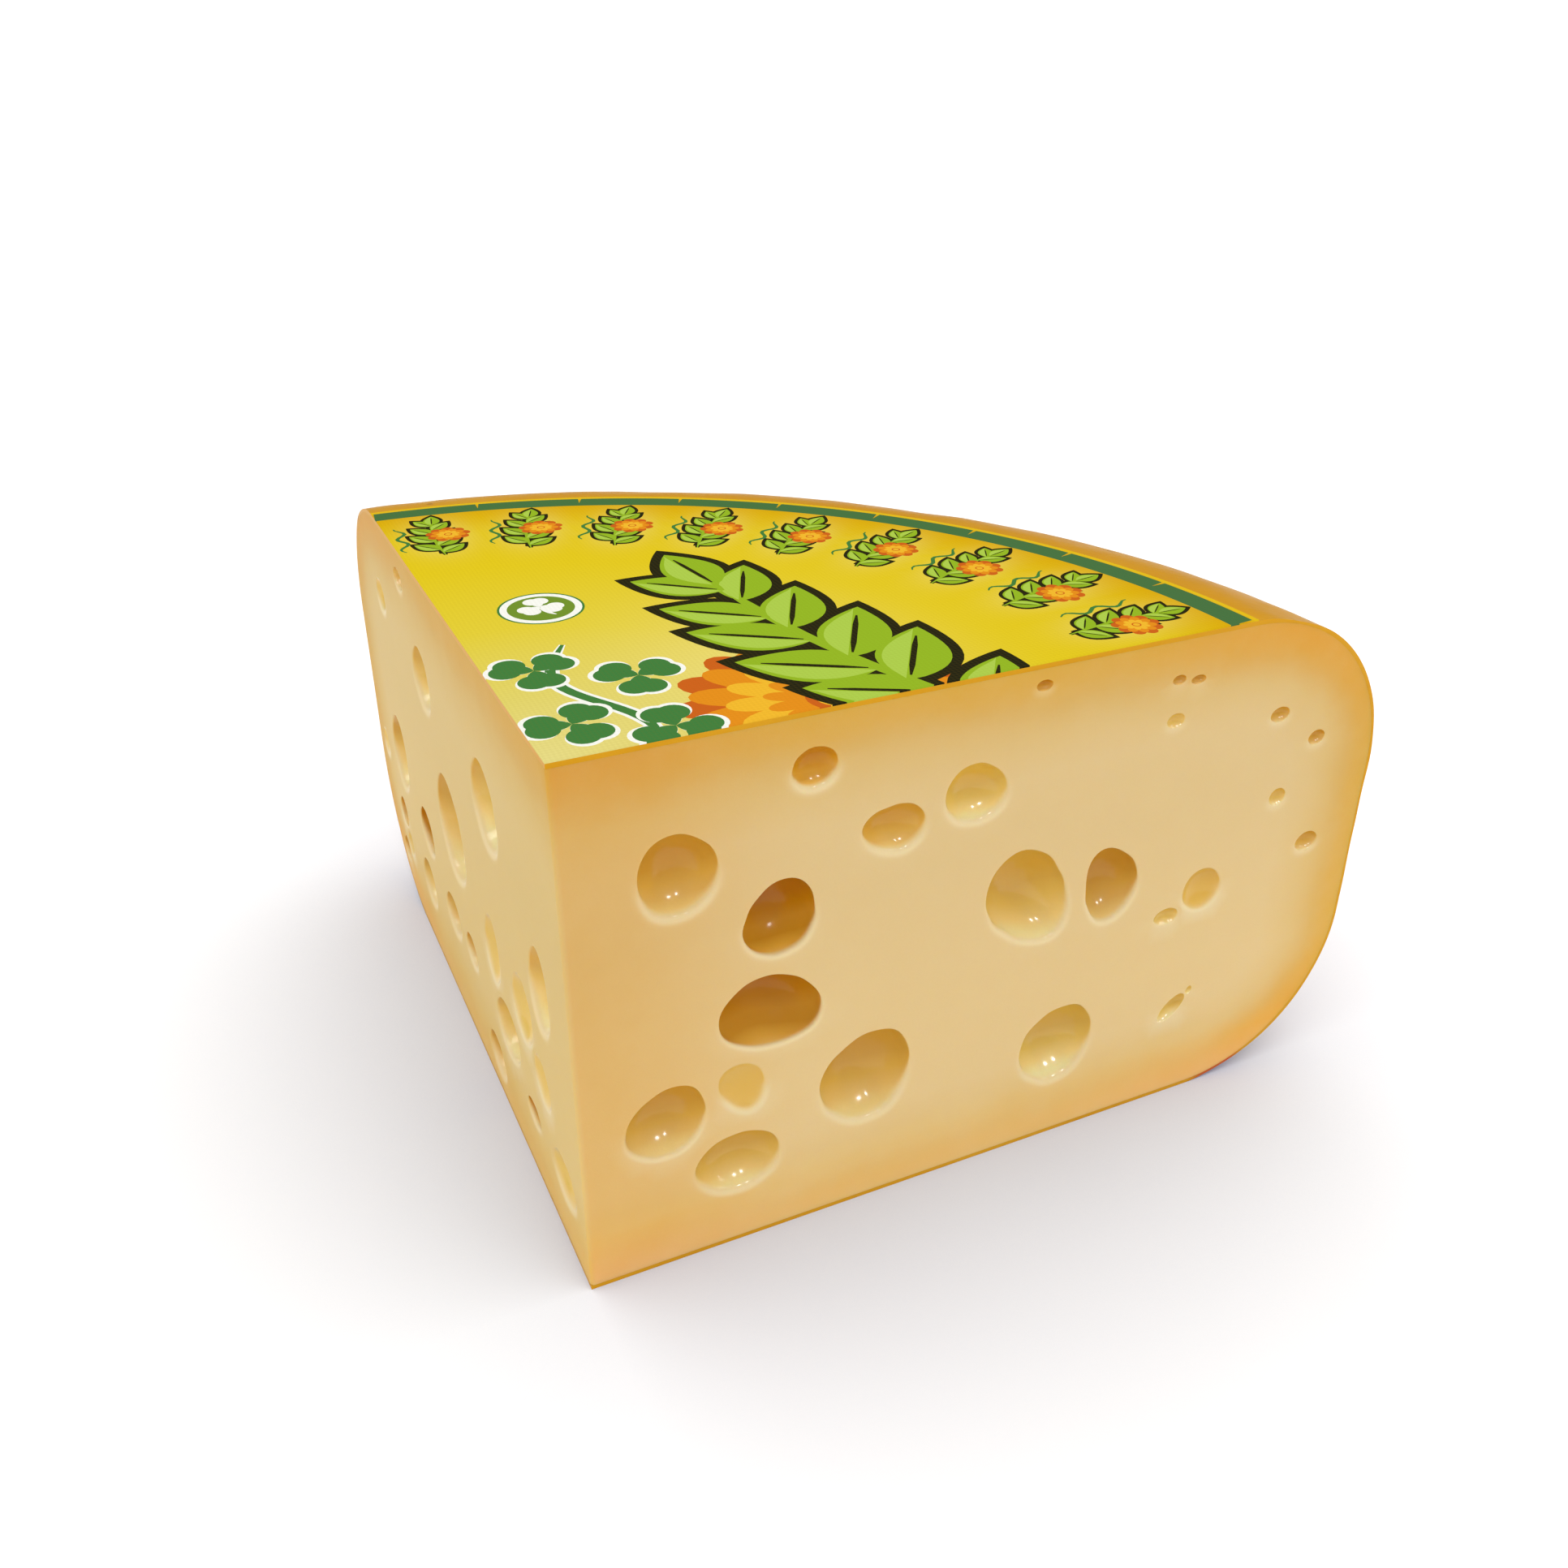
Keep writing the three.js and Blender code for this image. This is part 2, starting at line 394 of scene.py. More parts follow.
def outline_radius(waves, angle):
    """The distance to an eye's edge in any direction, on a smooth closed curve."""
    return sum(c * math.cos(k * angle) + s * math.sin(k * angle) for k, c, s in waves) ** -0.5


def outline_points(eye, count=32):
    """Points round the edge of an eye's opening, on the flat face."""
    middle, waves = Vector(eye[:2]) * MM, outline_waves(eye[4])
    turns = [2 * math.pi * i / count for i in range(count)]
    return [middle + Vector((math.cos(t), math.sin(t))) * outline_radius(waves, t) for t in turns]


def room_round(eye, eyes, low, high):
    """How far an eye's soft surround may reach over the flat face before it meets the next eye, or
    the base or top of the face."""
    rooms = [HALO_REACH]
    edge = outline_points(eye)
    for other in eyes:
        if other is not eye and math.dist(other[:2], eye[:2]) < NEIGHBOUR:
            gap = min((a - b).length for a in edge for b in outline_points(other))
            rooms.append(gap * HALO_SHARE)
    rooms += [gap * EDGE_SHARE for p in edge for gap in (p.y - low, high - p.y)]
    return max(min(rooms), HALO_LEAST)


def eye_section(opening, depth, lip, s):
    """A point of an eye's section, as (distance from its middle, depth), at the length s along it
    from its edge: first the flat face, then the wall of a round bubble. The edge is rolled over."""
    ball = (opening**2 + depth**2) / (2 * depth)
    middle = depth - ball
    start = -math.asin(middle / ball)
    end = ball * (math.pi / 2 - start)
    reach = lip * min(max((3 - s / lip) / 2, 0.0), 1.0) if lip else 0.0
    across = down = 0.0
    for k in KERNEL:
        at = min(s + reach * k, end)
        if at <= 0:
            across += opening - at
        else:
            turn = start + at / ball
            across += ball * math.cos(turn)
            down += middle + ball * math.sin(turn)
    return across / len(KERNEL), down / len(KERNEL)


def eye_length(opening, depth):
    ball = (opening**2 + depth**2) / (2 * depth)
    return ball * (math.pi / 2 + math.asin((depth - ball) / ball))


def add_eye(shape, place, eye, seed, lip_size, room):
    """Adds the surround, lip and wall of one eye, and returns its outer edge on the face."""
    across, up, depth, amber, radii = eye
    across, up, depth = across * MM, up * MM, depth * MM
    waves = outline_waves(radii)
    opening = sum(radii) / COMPASS * MM
    draw = random.Random(seed)
    ripples = [(k, draw.uniform(0.001, 0.007), draw.uniform(0, 2 * math.pi)) for k in (3, 5, 7, 9)]
    drift = (draw.uniform(-0.03, 0.03), draw.uniform(-0.02, 0.03))
    hollow = smooth_step(0.35, 0.75, depth / opening)  # a shallow eye is one even tone
    around = 64 if opening > 0.005 else 40
    length = eye_length(opening, depth)
    lengths_halo, lengths_lip, lengths_wall = 4, 9, 13
    rings = [[] for _ in range(lengths_halo + lengths_lip + lengths_wall)]
    edge = []
    for i in range(around):
        angle = 2 * math.pi * i / around
        ripple = 1 + sum(size * math.sin(k * angle + phase) for k, size, phase in ripples)
        radius = outline_radius(waves, angle) * ripple
        low = smooth_step(-0.3, 0.9, -math.sin(angle))
        lip = min(lip_size * (0.2 + 0.8 * low), length / 5) * min(1.0, opening / 0.006)
        lip = min(lip, room * 0.6)
        stations = [-lip - (room - lip) * (1 - k / lengths_halo) for k in range(lengths_halo)]
        stations += [lip * (-1 + 4 * k / (lengths_lip - 1)) for k in range(lengths_lip)]
        rest = length - stations[-1]
        stations += [
            stations[-1] + rest * k / (lengths_wall + 1) for k in range(1, lengths_wall + 1)]
        for ring, s in zip(rings, stations):
            e, d = eye_section(opening, depth, lip, s)
            share = e / opening * radius if s > 0 else radius + e - opening
            # Painted light: a pale band on the surround and lip below the eye, where its rolled lip
            # catches light from above.
            halo = low * math.exp(-(((s + 0.0002) / 0.0011) ** 2)) * min(1.0, opening / 0.004)
            inside = smooth_step(-0.2 * lip, 1.5 * lip, s)
            bumpy = noise.noise(
                Vector((share * math.cos(angle), share * math.sin(angle), d)) * 140
                + Vector((seed, 0, 0)))
            share *= 1 + 0.035 * bumpy * min(d / (0.3 * depth), 1.0)
            slide = d / depth * (d / depth)
            x = across + share * math.cos(angle) + drift[0] * opening * slide
            z = up + share * math.sin(angle) + drift[1] * opening * slide
            rise = (math.sin(angle) * e + 0.75 * d) / opening * hollow + 0.3 * (1 - hollow)
            ring.append(shape.point(
                place(x, z, max(d, 0.0)), eye_inside=inside, eye_amber=amber * inside,
                eye_rise=rise, eye_halo=halo))
            if ring is rings[0]:
                edge.append((x, z))
    for first, second in zip(rings, rings[1:]):
        shape.strip(first, second, closed=True)
    bottom = shape.point(
        place(across + drift[0] * opening, up + drift[1] * opening, depth),
        eye_inside=1.0, eye_amber=amber, eye_halo=0.0,
        eye_rise=0.75 * depth / opening * hollow + 0.3 * (1 - hollow))
    for a, b in zip(rings[-1], rings[-1][1:] + rings[-1][:1]):
        shape.face((a, b, bottom))
    return edge


def face_points(eyes, settings):
    """Points spread over a cut face, clear of its edge and of the eyes."""
    draw = random.Random(7)
    found = []
    top = settings.wheel_height
    for row, z in enumerate(spaced(FACE_STEP, top - FACE_STEP, FACE_STEP * 0.87)):
        for x in spaced(FACE_STEP, settings.wheel_radius - FACE_STEP, FACE_STEP):
            place = Vector(
                (x + (row % 2) * FACE_STEP / 2 + draw.uniform(-1, 1) * FACE_STEP * 0.12, z))
            if inside_profile(place, settings, 1.6 * MM) and all(
                clear_of(place, eye) for eye in eyes):
                found.append(place)
    return found


def inside_profile(place, settings, margin):
    flat = settings.wheel_radius - settings.rim_radius
    half = settings.wheel_height / 2
    out_r = max(place.x - flat, 0.0)
    out_z = max(abs(place.y - half) - (half - settings.rim_radius), 0.0)
    if place.x < margin + APEX_ROUNDING or half - abs(place.y - half) < margin:
        return False
    return math.hypot(out_r, out_z) < settings.rim_radius - RIM_FREE - margin


def clear_of(place, eye):
    gap = place - Vector((eye[0], eye[1])) * MM
    if gap.length > EYE_FREE:
        return True
    edge = outline_radius(outline_waves(eye[4]), math.atan2(gap.y, gap.x))
    return gap.length > edge * 1.02 + HALO_REACH + EYE_CLEARANCE


def add_cut_face(shape, place, eyes, seed, settings, inset, profile):
    """Adds one flat knife cut with its eyes, and returns the indices up its upright edge."""
    low, high = inset, settings.wheel_height - inset
    flat = profile[0][0]
    base = [(x, low) for x in spaced(APEX_ROUNDING, flat, 4 * MM)[:-1]]
    top = [(x, high) for x in spaced(flat, APEX_ROUNDING, 4 * MM)[1:]]
    upright = [(APEX_ROUNDING, z) for z in spaced(high, low, 3 * MM)]
    loop = base + list(profile) + top + upright[1:-1]
    edges = [
        add_eye(shape, place, eye, seed + i, settings.lip, room_round(eye, eyes, low, high))
        for i, eye in enumerate(eyes)]
    points, faces, owners = fill([loop] + edges, face_points(eyes, settings))
    index = [shape.point(place(x, z, 0.0)) for x, z in points]
    for corners, owner in zip(faces, owners):
        if owner == [0]:
            shape.face([index[i] for i in corners])
    return [shape.point(place(x, z, 0.0)) for x, z in upright]


def add_apex_edge(shape, front, left):
    """Rounds the upright edge between the two cut faces very slightly."""
    rows = [front]
    heights = [shape.points[i][2] for i in front]
    centre = APEX_ROUNDING
    for k in range(1, 5):
        turn = -math.pi / 2 - k * math.pi / 10
        x, y = centre + centre * math.cos(turn), centre + centre * math.sin(turn)
        rows.append([shape.point((x, y, z)) for z in heights])
    rows.append(left)
    for first, second in zip(rows, rows[1:]):
        shape.strip(first, second)
    return rows


def add_turned(shape, profile, around, towards=None):
    """Adds the rounded side by turning a profile a quarter about the wheel's axis. The side may be
    uneven, and then sinks here and there towards another profile."""
    rows = []
    for i in range(around + 1):
        turn = i / around * math.pi / 2
        row = []
        for (r, z), (inner_r, inner_z) in zip(profile, towards or profile):
            sunk = unevenness(r, z, turn, profile[0][0]) if towards else 0.0
            place = (r + (inner_r - r) * sunk, z + (inner_z - z) * sunk)
            row.append(shape.point(turned(*place, turn, i, around)))
        rows.append(row)
    for first, second in zip(rows, rows[1:]):
        shape.strip(first, second)
    return rows


def unevenness(r, z, turn, flat):
    """How far the coating has sunk in at a place, as a share of its thickness: broad hollows from
    the mould and the shelf, and small ones from the brush. The flat top and base stay flat."""
    place = Vector((r * math.cos(turn), r * math.sin(turn), z))
    broad = 0.5 + 0.5 * noise.noise(place * 22)
    small = 0.5 + 0.5 * noise.noise(place * 95 + Vector((4, 2, 7)))
    hollow = smooth_step(0.32, 0.85, 0.7 * broad + 0.3 * small)
    return smooth_step(flat + 0.001, flat + 0.012, r) * 0.6 * hollow


def turned(r, z, turn, i, around):
    """A profile point turned about the axis, with the first and last rows exactly on the cuts."""
    x = 0.0 if i == around else r * math.cos(turn)
    y = 0.0 if i == 0 else r * math.sin(turn)
    return (x, y, z)


def build_paste(settings, coating):
    """The paste: two cut faces with eyes, the rounded edge between them and the hidden outside."""
    shape = Shape()
    inset = coating.thickness
    profile = rim_profile(settings, inset, 2 * MM)
    front = add_cut_face(
        shape, lambda u, z, d: (u, d, z), FRONT_EYES, 100, settings, inset, profile)
    left = add_cut_face(
        shape, lambda u, z, d: (d, u, z), LEFT_EYES, 200, settings, inset, profile)
    apex = add_apex_edge(shape, front, left)
    rows = add_turned(shape, profile, 60)
    for end, z in ((0, inset), (-1, settings.wheel_height - inset)):
        rim = [row[end] for row in rows]
        near = list(dict.fromkeys(row[-1 if end == 0 else 0] for row in apex))
        stations = spaced(profile[0][0], APEX_ROUNDING, 4 * MM)
        front_edge = [shape.point((x, 0.0, z)) for x in stations]
        left_edge = [shape.point((0.0, x, z)) for x in stations]
        loop = [
            shape.points[i][:2]
            for i in rim + left_edge[1:] + near[::-1][1:-1] + front_edge[::-1][:-1]]
        points, faces, _ = fill([loop])
        index = [shape.point((x, y, z)) for x, y in points]
        for corners in faces:
            shape.face([index[i] for i in corners])
    return shape


# ------------------------------------------------------------------ materials


def add_node(tree, kind, inputs=(), out=0, stops=(), **settings):
    """Adds a node with its settings and ramp stops, sets or links its inputs, and returns one of
    its outputs, if it has any. The inputs go by name or place, or are listed in order."""
    node = tree.nodes.new(kind)
    for name, value in settings.items():
        setattr(node, name, value)
    for name, value in inputs.items() if isinstance(inputs, dict) else enumerate(inputs):
        if isinstance(value, bpy.types.NodeSocket):
            tree.links.new(value, node.inputs[name])
        else:
            node.inputs[name].default_value = value
    if stops:
        ramp = node.color_ramp
        while len(ramp.elements) < len(stops):
            ramp.elements.new(0.5)
        for element, (place, colour) in zip(ramp.elements, stops):
            element.position = place
            element.color = linear(colour) if isinstance(colour, str) else colour
    return node.outputs[out] if node.outputs else None


def new_material(name):
    """An empty node material, and what adds nodes to it."""
    material = bpy.data.materials.new(name)
    material.use_nodes = True
    material.node_tree.nodes.clear()
    return material, partial(add_node, material.node_tree)


def wheel_place(add):
    """Position from the wheel's axis, in metres: the vector, and its x, y and z."""
    place = add("ShaderNodeTexCoord", out="Object")
    moved = add(VECTOR, {0: place, 1: (-CAD_BOX[0].x, -CAD_BOX[0].y, 0.0)}, operation="ADD")
    return moved, [add("ShaderNodeSeparateXYZ", (moved,), axis) for axis in "XYZ"]


# Colours of the paste from close under the rind to its heart, by depth.
DRYING = (
    (0.0, "C69630"), (0.10, "C69736"), (0.21, "C69940"), (0.33, "C59D50"),
    (0.46, "C7A461"), (0.62, "C9AA6D"), (0.80, "CBAE76"))
DRYING_DEPTH = 0.024
# Colours inside an eye, from its lower edge up and inwards to its roof: painted light, pale on the
# lower wall where light falls, turning to painted shade, darker towards the roof.
PALE_EYE_LIGHT_AND_SHADE = (
    (0.03, "ECEAB8"), (0.13, "EAE8B2"), (0.30, "F0D88E"), (0.50, "DFC062"),
    (0.70, "D3AF52"), (0.90, "D8AE40"))
AMBER_EYE_LIGHT_AND_SHADE = (
    (0.04, "EFC860"), (0.13, "E6B440"), (0.30, "CC9422"), (0.50, "D0962A"),
    (0.70, "C48400"), (0.90, "BA760C"))


def paste_material(settings):
    """Semi-hard cheese paste, cut with a wire or knife: dense, waxy and slightly see-through, with
    a fine grain. It is cream in the heart and dries to orange close under the coating."""
    material, add = new_material("cheese_paste_knife_cut")
    place, (x, _, z) = wheel_place(add)
    radius, half, rim = settings.wheel_radius, settings.wheel_height / 2, settings.rim_radius
    out = add(VECTOR, {0: place, 1: (1, 1, 0)}, operation="MULTIPLY")
    from_axis = add(VECTOR, {0: out}, "Value", operation="LENGTH")
    # Depth under the rind of a disc with a rounded rim.
    sideways = add(MATH, (from_axis, radius - rim), operation="SUBTRACT")
    side = add(MATH, (sideways, 0.0), operation="MAXIMUM")
    from_half = add(MATH, (z, half), operation="SUBTRACT")
    off_middle = add(MATH, (from_half,), operation="ABSOLUTE")
    level = add(MATH, (off_middle, half - rim), operation="SUBTRACT")
    upright = add(MATH, (level, 0.0), operation="MAXIMUM")
    square = add(MATH, (upright, upright), operation="MULTIPLY")
    squares = add(MATH, (side, side, square), operation="MULTIPLY_ADD")
    corner = add(MATH, (squares,), operation="SQRT")
    nearer = add(MATH, (sideways, level), operation="MAXIMUM")
    inner = add(MATH, (nearer, 0.0), operation="MINIMUM")
    out_of_rim = add(MATH, (corner, inner), operation="ADD")
    depth = add(MATH, (rim, out_of_rim), operation="SUBTRACT")
    cloud = add(
        NOISE, {"Vector": place, "Scale": 1 / (26 * MM), "Detail": 3.0, "Roughness": 0.55}, "Fac")
    uneven = add(MATH, (cloud, 0.5), operation="SUBTRACT")
    depth = add(MATH, (uneven, 0.007, depth), operation="MULTIPLY_ADD")
    # Drying from the rind inwards.
    dryness = add(MATH, (depth, DRYING_DEPTH), operation="DIVIDE")
    dried = add(RAMP, {"Fac": dryness}, "Color", stops=(*DRYING, (1.0, settings.heart_colour)))
    # It is strongest towards the rounded edges of the wheel.
    outer, edge = [
        add(RANGE, {"Value": value, "From Min": low, "From Max": high}, **SMOOTH)
        for value, low, high in ((from_axis, 0.105, 0.165), (off_middle, 0.020, 0.055))]
    shallow = add(MATH, (depth, 0.014), operation="DIVIDE")
    near = add(MATH, (1.0, shallow), operation="SUBTRACT", use_clamp=True)
    both = add(MATH, (outer, edge), operation="MULTIPLY")
    strong = add(MATH, (near, 0.95), operation="MULTIPLY")
    share = add(MATH, (both, strong), operation="MULTIPLY")
    # The front cut is more orange close to the wheel's axis.
    axis_side = add(
        RANGE, {"Value": x, "From Min": 0.002, "From Max": 0.052, "To Min": 0.62, "To Max": 0.0},
        **SMOOTH)
    off_left = add(RANGE, {"Value": x, "From Min": 0.0, "From Max": 0.0012})
    warm = add(MATH, (axis_side, off_left), operation="MULTIPLY")
    warmest = add(MATH, (warm, near), operation="MULTIPLY")
    mottle = add(
        NOISE, {"Vector": place, "Scale": 1 / (10.5 * MM), "Detail": 4.0, "Roughness": 0.6}, "Fac")
    mottled = add(MATH, (mottle, 0.18), operation="MULTIPLY")
    heart = dried
    for mask, tint in (
        (share, settings.rind_colour), (warm, linear("C4933C")), (warmest, linear("C4801C")),
        (mottled, linear("D8C294"))):
        heart = add(MIX, {FACTOR: mask, A: heart, B: tint}, **COLOURS)
    # Painted light: the paste is made brighter and paler towards the base, to make up for the
    # dimmer light near the floor.
    low, base_painted_light, pale = [
        add(RANGE, {"Value": z, "From Min": 0.0, "From Max": top, "To Min": base, "To Max": above})
        for top, base, above in ((0.080, 1.16, 1.0), (0.018, 0.16, 0.0), (0.012, 0.86, 1.0))]
    light = add(MATH, (low, base_painted_light), operation="ADD")
    heart = add(
        "ShaderNodeHueSaturation", {"Color": heart, "Value": light, "Saturation": pale})
    # Painted shade: the left cut is made a little darker and yellower, to offset the paler, bluer
    # sheen it shows at a glancing angle.
    left_painted_shade = add(MATH, (1.0, off_left), operation="SUBTRACT")
    heart = add(
        MIX, {FACTOR: left_painted_shade, A: heart, B: linear("F6F3D8")}, **COLOURS, blend_type="MULTIPLY")
    # Painted light and shade inside an eye: light that goes round inside it is painted in as amber,
    # strongest under its upper edge, where the wall is painted darker as shade, and its lower edge
    # is painted pale where light falls.
    amber, inside, rise, halo = [
        add("ShaderNodeAttribute", out="Fac", attribute_name="eye_" + part)
        for part in ("amber", "inside", "rise", "halo")]
    wall, deep = [
        add(RAMP, {"Fac": add(MATH, (rise, 0.5, 0.5), operation="MULTIPLY_ADD")}, "Color",
            stops=stops)
        for stops in (PALE_EYE_LIGHT_AND_SHADE, AMBER_EYE_LIGHT_AND_SHADE)]
    wall = add(MIX, {FACTOR: amber, A: wall, B: deep}, **COLOURS)
    colour = add(MIX, {FACTOR: inside, A: heart, B: wall}, **COLOURS)
    grain = add(
        NOISE, {"Vector": place, "Scale": 1 / (0.5 * MM), "Detail": 3.0, "Roughness": 0.6}, "Fac")
    # Painted light: the pale surround below an eye's lower edge, where its rolled lip catches light
    # from above. The grain is the paste's own.
    for mask, strength, tint in ((halo, 0.75, "DACBA2"), (grain, 0.12, "B58A4A")):
        mask = add(MATH, (mask, strength), operation="MULTIPLY")
        colour = add(MIX, {FACTOR: mask, A: colour, B: linear(tint)}, **COLOURS)
    rough = add(RANGE, {"Value": inside, "To Min": 0.48, "To Max": 0.30})
    dry = add(MATH, (amber, -0.5, 0.8), operation="MULTIPLY_ADD")
    wet = add(MATH, (inside, dry), operation="MULTIPLY")
    # The knife drew faint lines across the cut.
    across = add(VECTOR, {0: place, 1: (0.10, 0.10, 1.0)}, operation="MULTIPLY")
    drag = add(NOISE, {"Vector": across, "Scale": 1 / (1.6 * MM), "Detail": 2.0}, "Fac")
    outside = add(MATH, (1.0, inside), operation="SUBTRACT")
    drag = add(MATH, (drag, outside), operation="MULTIPLY")
    relief = add(MATH, (drag, 0.5, grain), operation="MULTIPLY_ADD")
    fine = add("ShaderNodeBump", {"Height": relief, "Strength": 0.12, "Distance": 0.0002})
    shader = add(SHADER, {
        "Base Color": colour, "Roughness": rough, "Normal": fine, "IOR": 1.45,
        "Specular IOR Level": 0.08, "Coat Weight": wet, "Coat Roughness": 0.15,
        "Subsurface Weight": 0.3, "Subsurface Radius": (1.0, 0.55, 0.18),
        "Subsurface Scale": 0.003})
    add("ShaderNodeOutputMaterial", {"Surface": shader})
    return material


def coating_material(settings, wheel_radius):
    """Dyed plastic rind dressing, sponged on in several coats over a rind that kept the weave of
    its mould cloth. It is satin, warm orange and a little uneven."""
    material, add = new_material("rind_dressing_sponged")
    place, (x, y, z) = wheel_place(add)
    cloud = add(
        NOISE, {"Vector": place, "Scale": 1 / (62 * MM), "Detail": 4.0, "Roughness": 0.6}, "Fac")
    patch = add(RANGE, {"Value": cloud, "From Min": 0.35, "From Max": 0.7})
    # Along its bottom edge a knock has bared and browned the rind.
    knock = add(VECTOR, {0: place, 1: (0.160, 0.0, 0.001)}, "Value", operation="DISTANCE")
    uneven = add(MATH, (cloud, 0.5), operation="SUBTRACT")
    ragged = add(MATH, (uneven, 0.006, knock), operation="MULTIPLY_ADD")
    browned = add(RANGE, {"Value": ragged, "From Min": 0.009, "From Max": 0.003}, **SMOOTH)
    # Sponge streaks run round the wheel.
    along = add(VECTOR, {0: place, 1: (1.0, 1.0, 7.0)}, operation="MULTIPLY")
    streak = add(
        NOISE, {"Vector": along, "Scale": 1 / (14 * MM), "Detail": 4.0, "Roughness": 0.55}, "Fac")
    streaked = add(
        RANGE, {"Value": streak, "From Min": 0.42, "From Max": 0.72, "To Min": 0.0, "To Max": 0.3})
    # The mould's cloth left a weave 1.2 mm wide, filled where the dressing is thick.
    angle = add(MATH, (y, x), operation="ARCTAN2")
    turn = add(MATH, (angle, wheel_radius), operation="MULTIPLY")
    wound = add("ShaderNodeCombineXYZ", {"X": turn, "Y": z})
    weave = {"Vector": wound, "Scale": WAVE / (1.2 * MM), "Distortion": 1.5, "Detail": 1.0}
    threads = [add("ShaderNodeTexWave", weave, "Fac", bands_direction=way) for way in "XY"]
    crossed = add(MATH, threads, operation="MULTIPLY")
    cloth = add(MATH, (crossed, patch), operation="MULTIPLY")
    # Pinholes where bubbles burst in the dressing.
    cell = add("ShaderNodeTexVoronoi", {"Vector": place, "Scale": 1 / (11 * MM)}, "Distance")
    pinhole = add(
        RANGE, {"Value": cell, "From Min": 0.05, "From Max": 0.09, "To Min": 1.0, "To Max": 0.0})
    pricked = add(MATH, (pinhole, 0.6), operation="MULTIPLY")
    colour = settings.colour
    for mask, tint in (
        (patch, settings.thin_colour), (browned, linear("B64C20")), (streaked, linear("B87C06")),
        (pricked, linear("8A5A08"))):
        colour = add(MIX, {FACTOR: mask, A: colour, B: tint}, **COLOURS)
    dimple = add(NOISE, {"Vector": place, "Scale": 1 / (2.4 * MM), "Detail": 2.0}, "Fac")
    relief = add(MATH, (pinhole, -0.8), operation="MULTIPLY")
    for height, share in ((dimple, 0.35), (streak, 0.9), (cloth, 0.30)):
        relief = add(MATH, (height, share, relief), operation="MULTIPLY_ADD")
    bump = add("ShaderNodeBump", {"Height": relief, "Strength": 0.30, "Distance": 0.0005})
    rough = add(RANGE, {"Value": cloud, "To Min": 0.3, "To Max": 0.46})
    shader = add(SHADER, {
        "Base Color": colour, "Roughness": rough, "Normal": bump, "IOR": 1.47,
        "Specular IOR Level": 0.10, "Subsurface Weight": 0.05,
        "Subsurface Radius": (1.0, 0.5, 0.1), "Subsurface Scale": 0.001})
    add("ShaderNodeOutputMaterial", {"Surface": shader})
    return material


# The ground tint from the wheel's axis to the label's edge, by share of its reach.
GROUND_TINT = (
    (0.0, "CEC377"), (0.17, "CABD5E"), (0.40, "CCB932"), (0.66, "CCB41A"),
    (0.83, "CBB00C"), (0.915, "C6A00B"), (0.975, "C2930D"), (0.99, "CDAA1A"))
TINT_REACH = 0.15


def ink_material(name, colour=None):
    """Coated paper with a linen grain, printed in flat inks. With no colour, it is the ground tint,
    which runs from pale yellow in the middle of the wheel to golden at the rim."""
    material, add = new_material(name)
    place, _ = wheel_place(add)
    flat = add(VECTOR, {0: place, 1: (1, 1, 0)}, operation="MULTIPLY")
    from_axis = add(VECTOR, {0: flat}, "Value", operation="LENGTH")
    if colour:
        base = linear(colour)
    else:
        share = add(MATH, (from_axis, TINT_REACH), operation="DIVIDE")
        ramp = add(RAMP, {"Fac": share}, stops=GROUND_TINT)
        glow = add("ShaderNodeAttribute", out="Fac", attribute_name="print_glow")
        base = add(MIX, {FACTOR: glow, A: ramp, B: linear("D9CC84")}, **COLOURS)
    # Linen grain both ways. Real threads are 0.45 mm apart; they are drawn 0.9 mm apart to show.
    linen = {
        "Vector": place, "Scale": WAVE / (0.9 * MM), "Distortion": 1.2, "Detail": 2.0,
        "Detail Scale": 0.6}
    threads = [add("ShaderNodeTexWave", linen, "Fac", bands_direction=way) for way in "XY"]
    weave = add(MATH, threads, operation="ADD")
    tone = add(MATH, (weave, 0.05), operation="MULTIPLY")
    shade = add(MIX, {FACTOR: tone, A: base, B: linear("7A6010")}, **COLOURS)
    bump = add("ShaderNodeBump", {"Height": weave, "Strength": 0.18, "Distance": 0.0001})
    shader = add(SHADER, {
        "Base Color": shade, "Roughness": 0.5, "Normal": bump, "IOR": 1.5,
        "Specular IOR Level": 0.0})
    add("ShaderNodeOutputMaterial", {"Surface": shader})
    return material


# ------------------------------------------------------------------ the coating


def build_coating(settings, coating):
    """The coating: a thin film over the base, the rounded side and the top, open at the cuts."""
    shape = Shape()
    around = 150
    outer = rim_profile(settings, 0.0, 1.6 * MM)
    inner = rim_profile(settings, coating.thickness, 1.6 * MM)
    outer_rows = add_turned(shape, outer, around, inner)
    inner_rows = add_turned(shape, inner, around)
    rings = spaced(outer[0][0], 0.0, 5 * MM)
    for rows, z_low, z_high in (
            (outer_rows, 0.0, settings.wheel_height),
            (inner_rows, coating.thickness, settings.wheel_height - coating.thickness)):
        for end, z in ((0, z_low), (-1, z_high)):
            before = [row[end] for row in rows]
            for r in rings[1:]:
                now = [
                    shape.point(turned(r, z, i / around * math.pi / 2, i, around))
                    for i in range(around + 1)]
                shape.strip(before, now)
                before = now
    for row, fixed in ((0, True), (-1, False)):

        def along(r, z):
            return shape.point((r, 0.0, z) if fixed else (0.0, r, z))

        outside = [along(r, 0.0) for r in rings[::-1][:-1]] + outer_rows[row] + [
            along(r, settings.wheel_height) for r in rings[1:]]
        inside = [along(r, coating.thickness) for r in rings[::-1][:-1]] + inner_rows[row] + [
            along(r, settings.wheel_height - coating.thickness) for r in rings[1:]]
        shape.strip(outside, inside)
    return shape


# ------------------------------------------------------------------ the label


